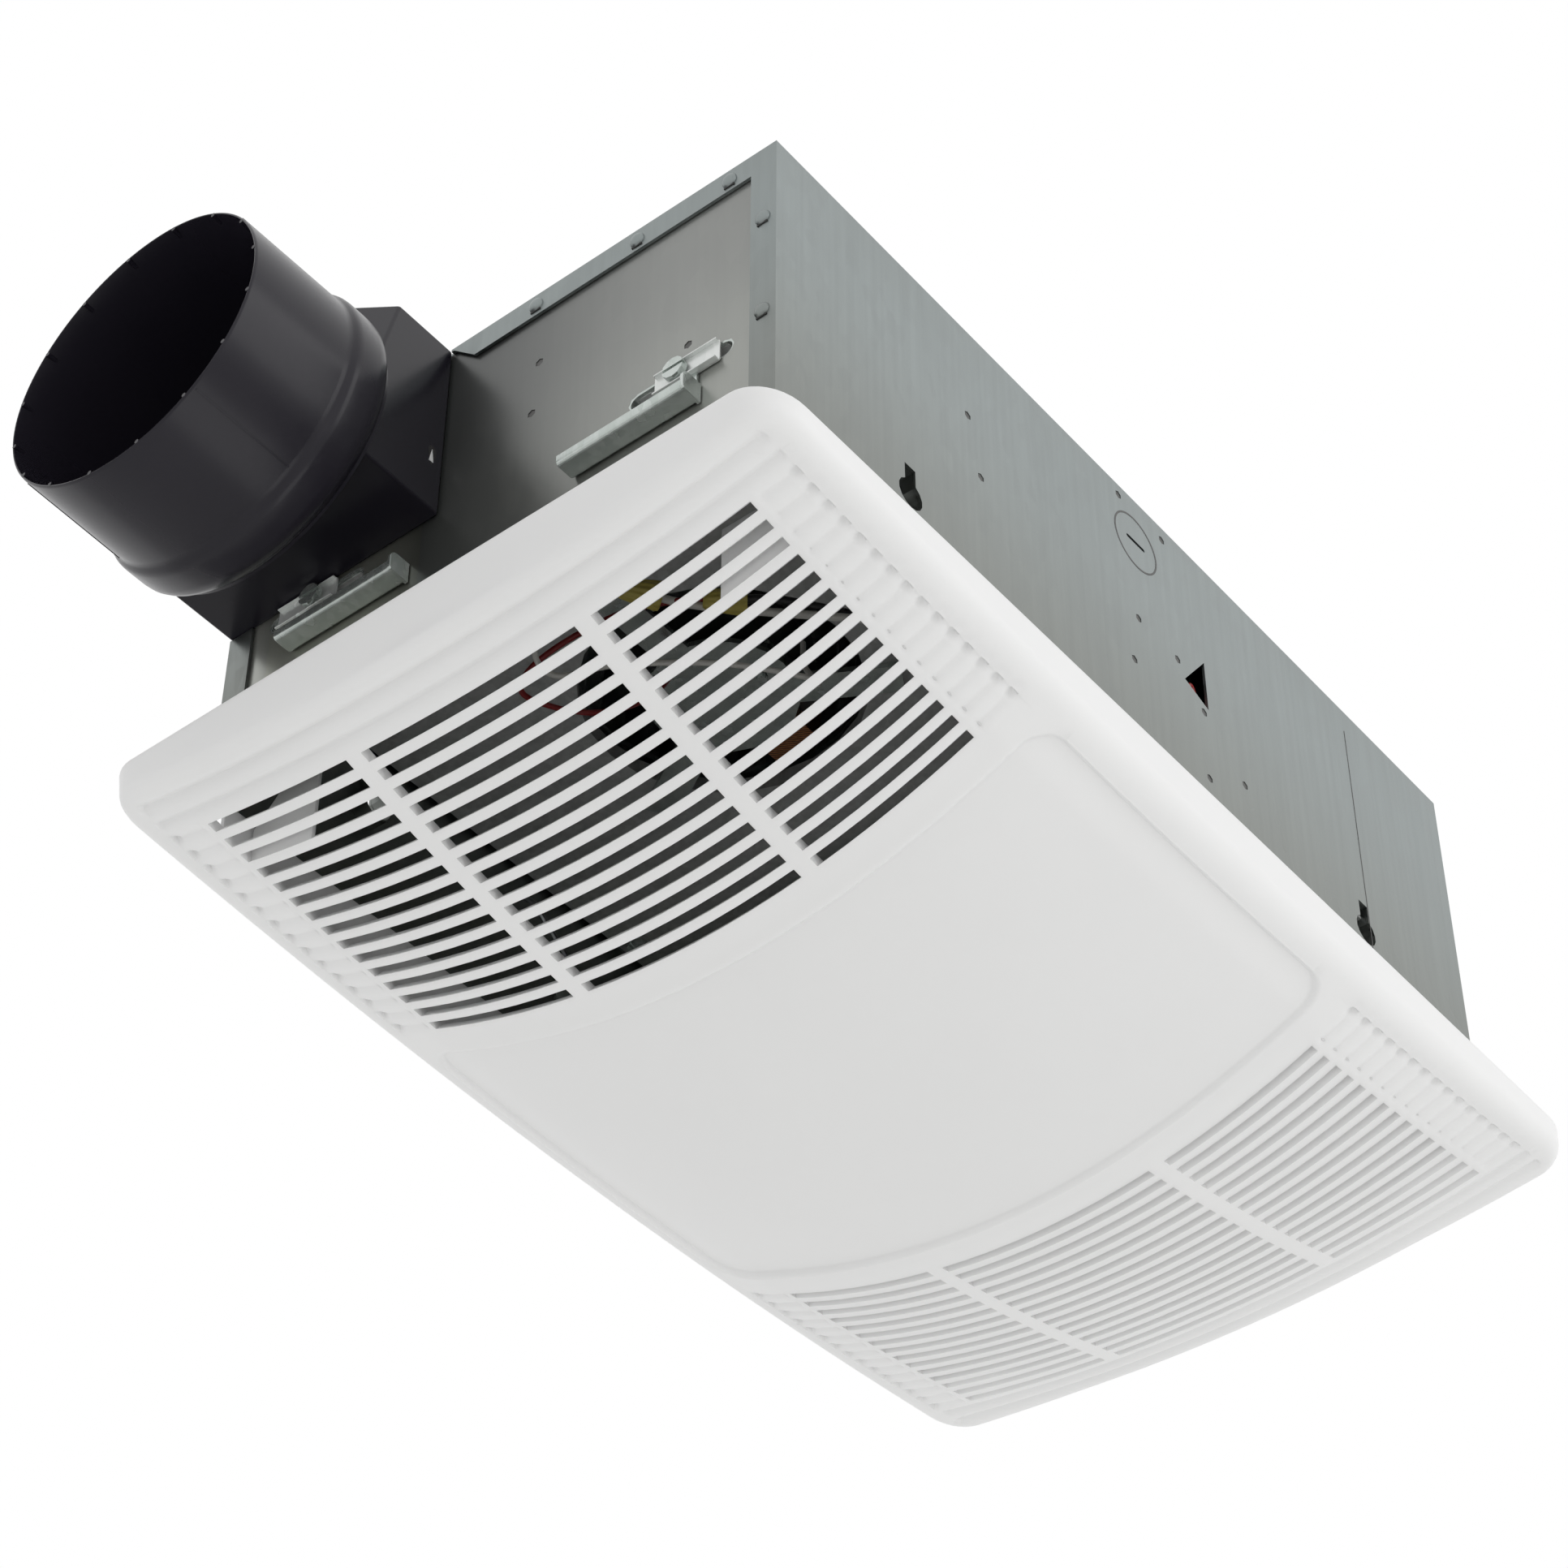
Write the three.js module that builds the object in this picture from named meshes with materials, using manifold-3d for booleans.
import * as THREE from 'three';
import { mergeVertices } from 'three/addons/utils/BufferGeometryUtils.js';
import Module from 'manifold-3d';

// Ceiling exhaust fan with heater. Millimetres, +Z up.
// The origin is the middle of the ceiling opening: z = 0 is the ceiling surface,
// the steel housing stands above it and the grille hangs below it.
// -X is the duct end, +X the heater end, -Y the front long side and +Y the rear one.

const wasm = await Module();
wasm.setup();

// Clearances and cutting
const fitGap = 0.3;
const cutOverrun = 6;
const weldDistance = 0.0001;

// Steel housing
const housingLength = 362;
const housingWidth = 213;
const housingHeight = 141;
const sheetSteel = 1;
const lapFlange = 9.5;
const lapCut = 10;
const wallLip = 8;
const clinchRadius = 2.6;
const clinchHeight = 1.1;
const clinchEdge = 5;

// Holes in the long walls
const keyholeX = 119.5;
const keyholeZ = 40;
const keyholeHeadRadius = 5.5;
const keyholeNeckWidth = 5;
const keyholeNeckLength = 11.5;
const knockoutZ = 120.3;
const knockoutRadius = 11.1;
const knockoutSlotLength = 10;
const knockoutSlotWidth = 1.4;
const pilotHoleRadius = 1.6;
const lanceX = 34.8;
const lanceZ = 94;
const lanceDrop = 21;
const lanceWidth = 12.5;

// Sliding hanger channels on the end walls
const hangerSlotY = 71;
const hangerSlotZ = 62.5;
const hangerSlotLength = 39;
const hangerSlotWidth = 7;
const hangerInnerY = 32;
const hangerOuterY = 79;
const hangerFloorZ = 44.5;
const hangerReach = 8;
const hangerBackHeight = 8;
const hangerLipHeight = 3.2;
const hangerTabWidth = 22;
const hangerTabTopZ = 66;
const hangerSheet = 1.2;
const hangerScrewRadius = 2.2;
const hangerScrewHeadRadius = 3.9;
const hangerScrewHeadHeight = 2.2;
const hangerScrewLength = 8;

// Duct connector for a round four inch duct
const collarRadius = 50;
const collarTipRadius = 49.6;
const collarWall = 2;
const collarY = 62;
const collarDrop = 51.8;
const collarMouthX = 270;
const collarRootX = 230;
const ringSwell = 1.6;
const ringTuck = 3.5;
const connectorFaceX = 214;
const connectorInnerY = 22;
const connectorBottomZ = 67;
const connectorChamferX = 10;
const connectorChamferY = 14;
const connectorChamferZ = 45;
const portInnerY = 33;
const portOuterY = 96;
const portBottomZ = 73;
const portDrop = 10;
const spigotLength = 6;

// Back-draught damper
const damperThickness = 1.5;
const damperOverlap = 2.2;
const damperHingeDrop = 6.4;
const damperHingeStandoff = 5.8;
const damperPinRadius = 1.5;
const damperKnuckleRadius = 3;
const damperLugWidth = 3.4;

// Exhaust blower, turning on an upright shaft
const exhaustX = -72;
const exhaustY = 2;
const exhaustWheelRadius = 54;
const exhaustBladeDepth = 9;
const exhaustBlades = 26;
const exhaustWheelBottomZ = 74;
const exhaustWheelTopZ = 125;
const exhaustTongueRadius = 62;
const exhaustScrollRadius = 97;
const exhaustOutletInnerY = 30;
const blowerPlateZ = 65;
const inletRadius = 45;
const inletLipHeight = 6;
const bracketSheet = 2;
const bracketHubRadius = 24;
const bracketArmWidth = 11;
const bracketReach = 56;
const bracketArms = 3;

// Blower wheels
const bladeSheet = 1.2;
const bladeSweepDegrees = 6;
const wheelDiscThickness = 1.6;
const wheelRingThickness = 2;
const hubRadius = 6.5;
const hubLength = 18;

// Shaded-pole motors, in a frame of their own with the shaft along +Z
const motorHalf = 20;
const motorLegReach = 33;
const motorLegHalf = 14;
const motorWindowStart = 19.5;
const motorWindowHalf = 8.8;
const motorWindowWidth = 5.5;
const motorStackHeight = 18;
const motorBoreRadius = 11;
const motorAirGap = 0.6;
const motorShaftRadius = 2.5;
const motorBridgeHalf = 6;
const motorBridgeSheet = 1.5;
const motorBridgeRise = 6;
const motorBridgeCrown = 8;
const motorBridgeFoot = 12;
const motorBearingRadius = 4.6;
const motorBearingRise = 3;
const motorStudY = 15.5;
const motorStudRadius = 1.6;
const motorStudEnd = 2;

// Heater blower, turning on a level shaft along Y
const heaterX = 110;
const heaterZ = 88;
const heaterWheelRadius = 32;
const heaterBladeDepth = 6.5;
const heaterBlades = 20;
const heaterWheelHalf = 33;
const heaterTongueRadius = 36;
const heaterScrollRadius = 53;
const heaterTongueDegrees = 70;
const heaterCasingHalf = 38;
const heaterInletRadius = 25;
const heaterMotorStandoff = 4;
const heaterPlateZ = 48;
const intakeSlotX = 40;
const intakeSlotWidth = 5;
const intakeSlotPitch = 11;
const intakeSlotLength = 140;
const intakeSlots = 3;

// Heating element, its frame and the outlet hood
const elementHeight = 25;
const elementFlange = 6;
const ribbonThickness = 0.8;
const ribbonDepth = 9;
const ribbonRuns = 7;
const ribbonPitch = 10;
const insulatorWidth = 9;
const insulatorHeight = 4;
const hoodBottomZ = 3;
const hoodHalfWidth = 95;
const hoodInnerX = 92;
const hoodOuterX = 177;
const cutoutRadius = 9;
const cutoutHeight = 8;
const cutoutY = -18;
const cutoutTerminalLength = 6;
const cutoutTerminalWidth = 5;

// Inner panels and wiring
const dividerX = 18;
const dividerFoot = 8;
const wiringBoxStartX = -20;
const wiringBoxDepth = 35;
const wiringBoxBottomZ = 98;
const supportTabDepth = 13;
const supportTabWidth = 16;
const supportScrewInset = 7;
const leadHoleRadius = 7;
const leadHoleX = 0;
const leadHoleY = -88;
const leadRadius = 1.3;
const leadTailZ = 124;
const leadFirstDrop = 15;
const leadLastDrop = 22;
const leadFirstShare = 0.14;
const leadLastShare = 0.62;
const blackLeadBow = 11;
const whiteLeadBow = 18;
const redLeadDrop = 14;
const redLeadInset = 4;
const redLeadTurn = 18;
const groundScrewX = -13;
const frontNutAlong = -24;
const frontNutAcross = -22;
const rearNutAlong = -54;
const rearNutAcross = -8;
const wireNutDrop = 23.5;
const wireNutLength = 20;
const wireNutMouthRadius = 6.6;
const wireNutTipRadius = 4.2;
const wireNutBoreRadius = 4;
const wireNutBoreDepth = 9;
const screwHeadRadius = 4;
const screwHeadHeight = 2;
const screwRadius = 1.8;
const screwLength = 7;

// Grille: a shallow cushion, crowned both ways, over a straight rectangular rim
const grilleLength = 414.6;
const grilleWidth = 250;
const grilleWall = 2.2;
const grilleCornerRadius = 13;
const grilleShoulder = 5;
const grilleEndDraft = 3.3;
const rimDepth = 15.5;
const crownAcross = 10;
const crownAlong = 15;
const crownBoth = 14.3;
const slotRows = 15;
const slotPitch = 6.83;
const slotWidth = 3.5;
const slotFieldEndMargin = 24.5;
const slotFieldSideMargin = 24.1;
const slotRibShare = 0.3925;
const slotRibWidth = 5.7;
const louvreDepth = 5.2;
const louvreSetback = 0.3;
const louvreLeanDegrees = 36;
const fluteInset = 2.6;
const fluteMargin = 10.5;
const fluteDepth = 0.9;
const fluteWidth = 4;
const endFlutes = 2;
const panelHalfLength = 72.5;
const panelMargin = 9;
const panelCornerRadius = 10;
const panelRecess = 1.5;
const locatingWallMargin = 20.8;
const locatingWallThickness = 1.6;
const locatingWallEndMargin = 37;

// Grille springs
const springInset = 9.2;
const springZ = 1;
const springArmRadius = 1;
const springWireRadius = 0.75;
const springTurns = 2;
const springTurnPitch = 1.9;
const springTurnRadius = 4.6;
const springArmLength = 73;
const springTipLength = 5;
const springRestDegrees = 55;
const springPegRadius = 3.2;
const springPostHalf = 5;
const springPostThickness = 4;
const springBracketZ = 13;
const springBracketHalf = 30;
const springBracketHeight = 26;
const springBracketLedge = 3;
const springSlotHalf = 27;

// Facet counts
const collarSides = 40;
const ringSides = 24;
const roundSides = 12;
const smallSides = 8;
const tinySides = 6;
const leadSteps = 18;
const scrollSteps = 20;
const bendSteps = 4;

// Places that follow from the sizes above
const endX = housingLength / 2;
const sideY = housingWidth / 2;
const innerSideY = sideY - sheetSteel;
const wallOuterX = endX - sheetSteel - fitGap;
const wallInnerX = wallOuterX - sheetSteel;
const panelTopZ = housingHeight - sheetSteel - fitGap;
const panelSideY = innerSideY - fitGap;
const plateSideY = panelSideY - sheetSteel - fitGap;
const plateEndX = wallInnerX - fitGap;
const lapTopZ = housingHeight - lapFlange;
const lapY = sideY - lapFlange;
const connectorBackX = wallOuterX + fitGap;
const connectorInsideX = connectorBackX + collarWall;
const damperHingeX = connectorInsideX + damperHingeStandoff;
const plateTopZ = blowerPlateZ + sheetSteel;
const heaterPlateTopZ = heaterPlateZ + sheetSteel;
const bracketTopZ = blowerPlateZ - fitGap;
const motorEndRise = motorBridgeRise + motorBearingRise;
const exhaustMotorZ = bracketTopZ + fitGap + motorEndRise;
const heaterOutletInnerX = heaterX + heaterTongueRadius * Math.cos(THREE.MathUtils.degToRad(heaterTongueDegrees));
const heaterOutletOuterX = heaterX + heaterScrollRadius;
const heaterCasingOuter = heaterCasingHalf + sheetSteel;
const heaterMotorStart = heaterCasingOuter + heaterMotorStandoff + motorEndRise + motorStackHeight;
const elementTopZ = heaterPlateZ - fitGap;
const elementBottomZ = elementTopZ - elementHeight;
const elementMiddleZ = (elementTopZ + elementBottomZ) / 2;
const collarZ = housingHeight - collarDrop;
const portTopZ = housingHeight - portDrop;
const damperHingeZ = housingHeight - damperHingeDrop;
const grilleHalfX = grilleLength / 2;
const grilleHalfY = grilleWidth / 2;
const slotFieldEndX = grilleHalfX - slotFieldEndMargin;
const slotFieldHalfY = grilleHalfY - slotFieldSideMargin;
const slotRibInnerY = slotFieldHalfY * slotRibShare;
const slotRibOuterY = slotRibInnerY + slotRibWidth;
const fluteStartY = slotFieldHalfY + fluteInset;
const fluteEndY = grilleHalfY - fluteMargin;
const panelHalfWidth = grilleHalfY - panelMargin;
const springY = panelSideY - springInset;
const springCoilHalf = (springTurns * springTurnPitch) / 2 + springWireRadius;
const springArmOffset = springCoilHalf + fitGap + springArmRadius;
const springSlotHalfWidth = springArmOffset + springArmRadius + fitGap;

const finishes = {
  galvanised: { color: 0x9aa3a0, roughness: 0.42, metalness: 0.85 },
  innerSteel: { color: 0x8d9492, roughness: 0.45, metalness: 0.85 },
  zinc: { color: 0xc3c8c4, roughness: 0.35, metalness: 0.9 },
  whitePlastic: { color: 0xe2e2e2, roughness: 0.5, metalness: 0 },
  blackPlastic: { color: 0x17161a, roughness: 0.42, metalness: 0 },
  lamination: { color: 0x6b6f73, roughness: 0.6, metalness: 0.7 },
  copper: { color: 0xa8592c, roughness: 0.45, metalness: 0.8 },
  nichrome: { color: 0x7d7a74, roughness: 0.4, metalness: 0.9 },
  ceramic: { color: 0xe8e1d2, roughness: 0.55, metalness: 0 },
  wheelSteel: { color: 0xb4bab8, roughness: 0.4, metalness: 0.85 },
  springSteel: { color: 0x5f6468, roughness: 0.35, metalness: 0.9 },
  blackLead: { color: 0x1b1b1d, roughness: 0.5, metalness: 0 },
  whiteLead: { color: 0xd9d8d2, roughness: 0.5, metalness: 0 },
  redLead: { color: 0x9c1f1d, roughness: 0.5, metalness: 0 },
  yellowCap: { color: 0xd8a51e, roughness: 0.45, metalness: 0 },
  greenScrew: { color: 0x2f7a45, roughness: 0.4, metalness: 0.6 },
};

// Solids

function facesOut(geometry) {
  const points = geometry.attributes.position;
  const index = geometry.index;
  const a = new THREE.Vector3();
  const b = new THREE.Vector3();
  const c = new THREE.Vector3();
  let volume = 0;
  for (let i = 0; i < index.count; i += 3) {
    a.fromBufferAttribute(points, index.getX(i));
    b.fromBufferAttribute(points, index.getX(i + 1));
    c.fromBufferAttribute(points, index.getX(i + 2));
    volume += a.dot(b.cross(c));
  }
  return volume > 0;
}

function weld(geometry) {
  const bare = new THREE.BufferGeometry();
  bare.setAttribute('position', geometry.attributes.position);
  bare.setIndex(geometry.index);
  const welded = mergeVertices(bare, weldDistance);
  if (facesOut(welded)) return welded;
  const order = welded.index.array;
  for (let i = 0; i < order.length; i += 3) {
    const held = order[i];
    order[i] = order[i + 1];
    order[i + 1] = held;
  }
  return welded;
}

function solid(geometry) {
  const welded = weld(geometry);
  return new wasm.Manifold(new wasm.Mesh({
    numProp: 3,
    vertProperties: new Float32Array(welded.attributes.position.array),
    triVerts: new Uint32Array(welded.index.array),
  }));
}

function joined(...solids) {
  return wasm.Manifold.union(solids.flat());
}

function cut(body, ...cutters) {
  return body.subtract(joined(...cutters));
}

function geometryOf(body) {
  const mesh = body.getMesh();
  const geometry = new THREE.BufferGeometry();
  geometry.setAttribute('position', new THREE.BufferAttribute(new Float32Array(mesh.vertProperties), 3));
  geometry.setIndex(new THREE.BufferAttribute(new Uint32Array(mesh.triVerts), 1));
  geometry.computeVertexNormals();
  return geometry;
}

function piece(name, body, finish) {
  const geometry = body instanceof THREE.BufferGeometry ? weld(body) : geometryOf(body);
  const mesh = new THREE.Mesh(geometry, new THREE.MeshStandardMaterial(finishes[finish]));
  mesh.name = name;
  return mesh;
}

function group(...members) {
  const made = new THREE.Group();
  made.add(...members);
  return made;
}

// Two values in rising order, for pieces that are mirrored to a side
function span(a, b) {
  return a < b ? [a, b] : [b, a];
}

function box([x0, x1], [y0, y1], [z0, z1]) {
  const geometry = new THREE.BoxGeometry(x1 - x0, y1 - y0, z1 - z0);
  geometry.translate((x0 + x1) / 2, (y0 + y1) / 2, (z0 + z1) / 2);
  return solid(geometry);
}

// Rods run along an axis; their place is given on the other two axes in the order x, y, z
function rod(axis, radius, [from, to], [first, second], sides = roundSides, endRadius = radius) {
  const geometry = new THREE.CylinderGeometry(endRadius, radius, to - from, sides);
  const middle = (from + to) / 2;
  if (axis === 'x') {
    geometry.rotateZ(-Math.PI / 2);
    geometry.translate(middle, first, second);
  } else if (axis === 'y') {
    geometry.translate(first, middle, second);
  } else {
    geometry.rotateX(Math.PI / 2);
    geometry.translate(first, second, middle);
  }
  return solid(geometry);
}

// Plates: an outline drawn in (y, z) runs along x, in (x, z) along y, in (x, y) along z
function plate(axis, points, [from, to]) {
  const drawn = points.map(([u, v]) => (axis === 'y' ? new THREE.Vector2(v, u) : new THREE.Vector2(u, v)));
  const geometry = new THREE.ExtrudeGeometry(new THREE.Shape(drawn), { depth: to - from, bevelEnabled: false });
  const x = new THREE.Vector3(1, 0, 0);
  const y = new THREE.Vector3(0, 1, 0);
  const z = new THREE.Vector3(0, 0, 1);
  const along = { x, y, z }[axis];
  const bases = { x: [y, z, x], y: [z, x, y], z: [x, y, z] };
  geometry.applyMatrix4(new THREE.Matrix4().makeBasis(...bases[axis]));
  geometry.translate(...along.clone().multiplyScalar(from).toArray());
  return solid(geometry);
}

function circle(radius, u = 0, v = 0, sides = roundSides) {
  const points = [];
  for (let i = 0; i < sides; i += 1) {
    const turn = (i / sides) * 2 * Math.PI;
    points.push([u + radius * Math.cos(turn), v + radius * Math.sin(turn)]);
  }
  return points;
}

function rectangle([u0, u1], [v0, v1]) {
  return [[u0, v0], [u1, v0], [u1, v1], [u0, v1]];
}

function roundedRectangle(halfU, halfV, radius, sides = roundSides) {
  const points = [];
  const corners = [[1, 1], [-1, 1], [-1, -1], [1, -1]];
  corners.forEach(([u, v], quarter) => {
    for (let i = 0; i <= sides / 4; i += 1) {
      const turn = (quarter + i / (sides / 4)) * (Math.PI / 2);
      const along = u * (halfU - radius) + radius * Math.cos(turn);
      points.push([along, v * (halfV - radius) + radius * Math.sin(turn)]);
    }
  });
  return points;
}

// A slot with round ends, long in the first direction of its outline
function stadium(length, width, u, v, sides = smallSides) {
  const radius = width / 2;
  const reach = length / 2 - radius;
  const points = [];
  for (const side of [1, -1]) {
    for (let i = 0; i <= sides / 2; i += 1) {
      const turn = -Math.PI / 2 + (i / (sides / 2)) * Math.PI;
      points.push([u + side * (reach + radius * Math.cos(turn)), v + side * radius * Math.sin(turn)]);
    }
  }
  return points;
}

// A body turned about its own z axis from (radius, height) points, closed on itself or on the axis
function turned(profile, sides = roundSides) {
  const points = profile.map(([radius, height]) => new THREE.Vector2(radius, height));
  const onAxis = profile[0][0] === 0 && profile[profile.length - 1][0] === 0;
  if (!onAxis) points.push(points[0].clone());
  const geometry = new THREE.LatheGeometry(points, sides);
  geometry.rotateX(Math.PI / 2);
  return geometry;
}

// Takes a corner off a box: the cut's reach from the corner along x, y and z, with signs
function cornerCut(corner, reach) {
  const overrun = reach.reduce((sum, length) => sum + cutOverrun / Math.abs(length), 1);
  const apex = corner.map((value, i) => value - Math.sign(reach[i]) * cutOverrun);
  const tips = reach.map((length, i) => apex.map((value, j) => (i === j ? value + length * overrun : value)));
  const geometry = new THREE.BufferGeometry();
  geometry.setFromPoints([apex, ...tips].map((point) => new THREE.Vector3(...point)));
  geometry.setIndex([0, 2, 1, 0, 1, 3, 0, 3, 2, 1, 2, 3]);
  return solid(geometry);
}

// A four-sided funnel between a top and a bottom rectangle
function funnel(top, topZ, bottom, bottomZ) {
  const points = [];
  for (const [[x0, x1, y], z] of [[bottom, bottomZ], [top, topZ]]) {
    points.push([x0, -y, z], [x1, -y, z], [x1, y, z], [x0, y, z]);
  }
  const geometry = new THREE.BufferGeometry();
  geometry.setFromPoints(points.map((point) => new THREE.Vector3(...point)));
  const faces = [0, 2, 1, 0, 3, 2, 4, 5, 6, 4, 6, 7];
  for (let i = 0; i < 4; i += 1) {
    const next = (i + 1) % 4;
    faces.push(i, next, next + 4, i, next + 4, i + 4);
  }
  geometry.setIndex(faces);
  return solid(geometry);
}

// A closed body between two height functions, over stations in x and y
function patch(xs, ys, lowAt, highAt, leanAt = (x) => x) {
  const rows = ys.length;
  const positions = [];
  for (const heightAt of [lowAt, highAt]) {
    for (const x of xs) {
      for (const y of ys) {
        const z = heightAt(x, y);
        positions.push(leanAt(x, y, z), y, z);
      }
    }
  }
  const low = (i, j) => i * rows + j;
  const high = (i, j) => (xs.length + i) * rows + j;
  const faces = [];
  const quad = (a, b, c, d) => faces.push(a, b, c, a, c, d);
  const lastI = xs.length - 1;
  const lastJ = rows - 1;
  for (let i = 0; i < lastI; i += 1) {
    for (let j = 0; j < lastJ; j += 1) {
      quad(low(i, j), low(i, j + 1), low(i + 1, j + 1), low(i + 1, j));
      quad(high(i, j), high(i + 1, j), high(i + 1, j + 1), high(i, j + 1));
    }
    quad(low(i, 0), low(i + 1, 0), high(i + 1, 0), high(i, 0));
    quad(low(i + 1, lastJ), low(i, lastJ), high(i, lastJ), high(i + 1, lastJ));
  }
  for (let j = 0; j < lastJ; j += 1) {
    quad(low(0, j + 1), low(0, j), high(0, j), high(0, j + 1));
    quad(low(lastI, j), low(lastI, j + 1), high(lastI, j + 1), high(lastI, j));
  }
  const geometry = new THREE.BufferGeometry();
  geometry.setAttribute('position', new THREE.BufferAttribute(new Float32Array(positions), 3));
  geometry.setIndex(faces);
  return solid(geometry);
}

// A round wire swept along a curve
function wire(curve, radius, steps, sides = smallSides) {
  const section = new THREE.Shape(circle(radius, 0, 0, sides).map(([u, v]) => new THREE.Vector2(u, v)));
  return new THREE.ExtrudeGeometry(section, { steps, bevelEnabled: false, extrudePath: curve });
}

function evenly(from, to, count) {
  return Array.from({ length: count + 1 }, (unused, i) => from + ((to - from) * i) / count);
}

// A screw from below: its head under the seat, its shank running up
function screwFromBelow(x, y, seatZ) {
  const headTopZ = seatZ - fitGap;
  const headBottomZ = headTopZ - screwHeadHeight;
  const head = rod('z', screwHeadRadius, [headBottomZ, headTopZ], [x, y]);
  const shank = rod('z', screwRadius, [headTopZ - screwHeadHeight / 2, headTopZ + screwLength], [x, y], smallSides);
  const slotHalf = sheetSteel / 2;
  const slotReach = screwHeadRadius + fitGap;
  const slot = box([x - slotReach, x + slotReach], [y - slotHalf, y + slotHalf],
    [headBottomZ - cutOverrun, headBottomZ + screwHeadHeight / 2]);
  return cut(joined(head, shank), slot);
}

// Housing

function keyhole(x) {
  const neckHalf = keyholeNeckWidth / 2;
  const start = Math.asin(neckHalf / keyholeHeadRadius);
  const points = [];
  for (let i = 0; i <= roundSides; i += 1) {
    const turn = Math.PI / 2 + start + (i / roundSides) * 2 * (Math.PI - start);
    points.push([x + keyholeHeadRadius * Math.cos(turn), keyholeZ + keyholeHeadRadius * Math.sin(turn)]);
  }
  points.push([x + neckHalf, keyholeZ + keyholeNeckLength]);
  points.push([x - neckHalf, keyholeZ + keyholeNeckLength]);
  return points;
}

// Pilot holes that show on the front wall and the duct end, as shares of the half size and the height
const frontPilotShares = [
  [-0.494, 0.716], [-0.464, 0.553], [-0.044, 0.965], [0.088, 0.957], [-0.011, 0.599],
  [-0.035, 0.447], [0.105, 0.589], [0.177, 0.496], [0.174, 0.291], [0.29, 0.381],
];
const ductPilotShares = [[-0.14, 0.776], [-0.123, 0.621], [-0.689, 0.526]];
const lanceCornerShare = 0.8;

// Clinched joints of the lap strips, as shares of the half width and the height
const ductClinchShares = [-0.834, -0.5, -0.124];
const heaterClinchShares = [-0.72, -0.24, 0.24, 0.72];
const sideClinchShares = [0.77, 0.475];

function clinch(y, z, outward) {
  const [from, to] = span(outward * (endX - sheetSteel / 2), outward * (endX + clinchHeight));
  const radii = outward > 0 ? [clinchRadius, clinchRadius / 2] : [clinchRadius / 2, clinchRadius];
  return rod('x', radii[0], [from, to], [y, z], tinySides, radii[1]);
}

function clinches() {
  const topZ = housingHeight - clinchEdge;
  const stripY = sideY - clinchEdge;
  const heads = [clinch(stripY, connectorBottomZ / 2, -1)];
  for (const share of ductClinchShares) heads.push(clinch(share * sideY, topZ, -1));
  for (const share of heaterClinchShares) heads.push(clinch(share * sideY, topZ, 1));
  for (const share of sideClinchShares) {
    heads.push(clinch(-stripY, share * housingHeight, -1));
    heads.push(clinch(-stripY, share * housingHeight, 1), clinch(stripY, share * housingHeight, 1));
  }
  return heads;
}

// Tabs bent inwards from the long walls, which the plates are screwed up to from below
const supportTabs = [
  { x: exhaustX - bracketReach / 2, side: -1, plateTop: plateTopZ, name: 'front_blower_screw' },
  { x: dividerX - supportTabWidth, side: 1, plateTop: plateTopZ, name: 'rear_blower_screw' },
  { x: heaterX + heaterWheelRadius, side: -1, plateTop: heaterPlateTopZ, name: 'front_heater_screw' },
  { x: heaterX + heaterWheelRadius, side: 1, plateTop: heaterPlateTopZ, name: 'rear_heater_screw' },
];

function supportTab({ x, side, plateTop }) {
  const low = plateTop + fitGap;
  const tab = box([x - supportTabWidth / 2, x + supportTabWidth / 2],
    span(side * (sideY - sheetSteel / 2), side * (innerSideY - supportTabDepth)), [low, low + sheetSteel]);
  const hole = rod('z', screwRadius + fitGap, [low - cutOverrun, low + cutOverrun],
    [x, side * (innerSideY - supportScrewInset)], smallSides);
  return cut(tab, hole);
}

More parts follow.
